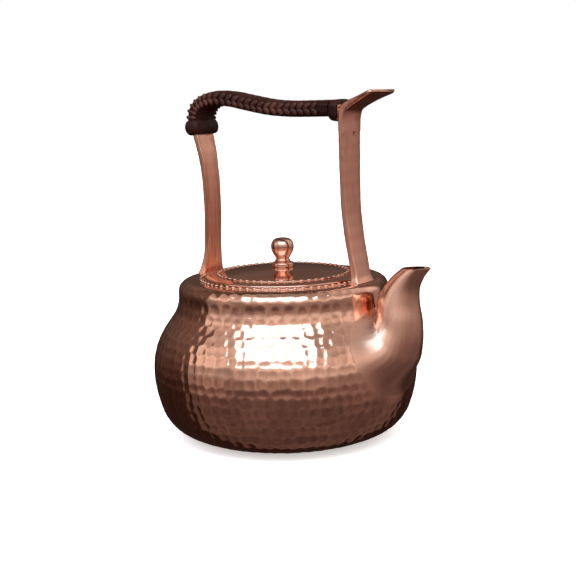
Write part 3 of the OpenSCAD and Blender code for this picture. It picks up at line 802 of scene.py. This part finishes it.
def softbox(name, azimuth, rise, away, width, height, power, glossy=True, colour=(1, 1, 1)):
    """A soft panel of light, its azimuth measured from the camera's side."""
    data = bpy.data.lights.new(name, "AREA")
    data.shape = "RECTANGLE"
    data.size, data.size_y, data.energy, data.color = width, height, power, colour
    lamp = bpy.data.objects.new(name, data)
    bpy.context.scene.collection.objects.link(lamp)
    a, e = math.radians(azimuth + CAMERA_SIDE), math.radians(rise)
    at = LIGHTS_AIM + away * Vector((math.cos(a) * math.cos(e), math.sin(a) * math.cos(e), math.sin(e)))
    turn = (LIGHTS_AIM - at).to_track_quat("-Z", "Y").to_matrix().to_4x4()
    lamp.matrix_world = Matrix.Translation(at) @ turn
    lamp.visible_glossy = glossy


# bluish, so that copper reflects it as white
softbox("front_softbox", -9, 47.5, 1.1, 1.34, 0.70, 5.05, colour=(0.62, 0.98, 1.25))
softbox("leather_fill", -10, 30, 1.4, 1.6, 1.2, 7, glossy=False)

sky = bpy.data.lights.new("overhead_sky", "SUN")
sky.energy, sky.angle = 3.3, math.radians(160)
overhead = bpy.data.objects.new("overhead_sky", sky)
bpy.context.scene.collection.objects.link(overhead)
overhead.visible_glossy = False

world = bpy.data.worlds.new("studio")
bpy.context.scene.world = world
world.use_nodes = True
tree = world.node_tree
tree.nodes.clear()


def world_node(kind, **settings):
    """A node of the surround."""
    node = tree.nodes.new(kind)
    for key, value in settings.items():
        setattr(node, key, value)
    return node


coords = world_node("ShaderNodeTexCoord")
split = world_node("ShaderNodeSeparateXYZ")
tree.links.new(coords.outputs["Generated"], split.inputs[0])


def w_math(operation, a, b):
    node = world_node("ShaderNodeMath", operation=operation)
    for i, value in enumerate((a, b)):
        if isinstance(value, (int, float)):
            node.inputs[i].default_value = value
        else:
            tree.links.new(value, node.inputs[i])
    return node.outputs[0]


def w_band(value, low, high, to_low, to_high, kind="SMOOTHSTEP"):
    node = world_node("ShaderNodeMapRange", interpolation_type=kind)
    tree.links.new(value, node.inputs["Value"])
    for key, number in zip(("From Min", "From Max", "To Min", "To Max"), (low, high, to_low, to_high)):
        node.inputs[key].default_value = number
    return node.outputs[0]


# what the copper reflects: lit on the lit side, dusky behind, and brighter higher up
LIT_SIDE = (0.788, -0.616)
front = w_math("ADD", w_math("MULTIPLY", split.outputs[0], LIT_SIDE[0]),
               w_math("MULTIPLY", split.outputs[1], LIT_SIDE[1]))
lit = w_band(front, -0.40, -0.27, 0.0, 1.0)
room = world_node("ShaderNodeTexNoise")
tree.links.new(coords.outputs["Generated"], room.inputs["Vector"])
room.inputs["Scale"].default_value = 2.2
room.inputs["Detail"].default_value = 2.0
uneven = w_band(room.outputs["Fac"], 0.3, 0.7, 0.72, 1.25)
by_height = world_node("ShaderNodeValToRGB")
tree.links.new(w_band(split.outputs[2], -1.0, 1.0, 0.0, 1.0, "LINEAR"), by_height.inputs[0])
ramp = by_height.color_ramp
LOW_TINT, MID_TINT, HIGH_TINT = (1, 0.66, 0.58), (1, 0.75, 0.66), (1, 0.87, 0.79)
level_stops = [(0.0, 0.10, LOW_TINT), (0.25, 0.135, LOW_TINT), (0.34, 0.17, LOW_TINT),
               (0.385, 0.20, LOW_TINT), (0.425, 0.31, MID_TINT), (0.456, 0.34, MID_TINT),
               (0.50, 0.36, MID_TINT), (0.57, 0.46, HIGH_TINT), (0.671, 0.76, HIGH_TINT),
               (0.75, 0.78, HIGH_TINT), (0.883, 0.6, HIGH_TINT), (1.0, 0.3, HIGH_TINT)]
while len(ramp.elements) < len(level_stops):
    ramp.elements.new(0.5)
for element, (at, level, tint) in zip(ramp.elements, level_stops):
    element.position, element.color = at, (*(level * part for part in tint), 1)
strength = w_math("MULTIPLY", uneven, w_math("ADD", w_math("MULTIPLY", lit, 0.80), 0.20))
warm = world_node("ShaderNodeMix", data_type="RGBA")
tree.links.new(lit, warm.inputs["Factor"])
dusk, day = [socket for socket in warm.inputs if socket.type == "RGBA"]
dusk.default_value, day.default_value = (1, 0.78, 0.70, 1), (1, 1, 1, 1)
shade = world_node("ShaderNodeVectorMath", operation="MULTIPLY")
tree.links.new(by_height.outputs[0], shade.inputs[0])
tree.links.new([socket for socket in warm.outputs if socket.type == "RGBA"][0], shade.inputs[1])
glow = world_node("ShaderNodeVectorMath", operation="SCALE")
tree.links.new(shade.outputs[0], glow.inputs[0])
tree.links.new(strength, glow.inputs["Scale"])
around_light = world_node("ShaderNodeBackground")
tree.links.new(glow.outputs[0], around_light.inputs[0])
# and what the camera itself sees: plain white
backdrop = world_node("ShaderNodeBackground")
backdrop.inputs[0].default_value = (1, 1, 1, 1)
backdrop.inputs[1].default_value = 1.0
ray = world_node("ShaderNodeLightPath")
both = world_node("ShaderNodeMixShader")
tree.links.new(ray.outputs["Is Camera Ray"], both.inputs[0])
tree.links.new(around_light.outputs[0], both.inputs[1])
tree.links.new(backdrop.outputs[0], both.inputs[2])
out = world_node("ShaderNodeOutputWorld")
tree.links.new(both.outputs[0], out.inputs[0])

bm = bmesh.new()
bmesh.ops.create_grid(bm, x_segments=1, y_segments=1, size=6)
floor_mesh = bpy.data.meshes.new("floor")
bm.to_mesh(floor_mesh)
bm.free()
floor = bpy.data.objects.new("floor", floor_mesh)
bpy.context.scene.collection.objects.link(floor)
paper = Finish("pale_paper", Roughness=0.9)
paper.colour(paper.mix(paper.noise(3, 3).band(0.3, 0.7), (0.84, 0.84, 0.83), (0.88, 0.88, 0.87)))
paper.shader.inputs["Emission Color"].default_value = (1, 1, 1, 1)
paper.shader.inputs["Emission Strength"].default_value = 0.45
floor_mesh.materials.append(paper.material)
floor.visible_glossy = False
floor.visible_diffuse = False

bpy.context.scene.view_settings.view_transform = "Standard"

for node in ("mouth_collar", "lid_collar", "knob_burr", "front_foot_burr", "rear_foot_burr"):
    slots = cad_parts[node].data.materials
    slots.clear()
    slots.append(inside_copper)
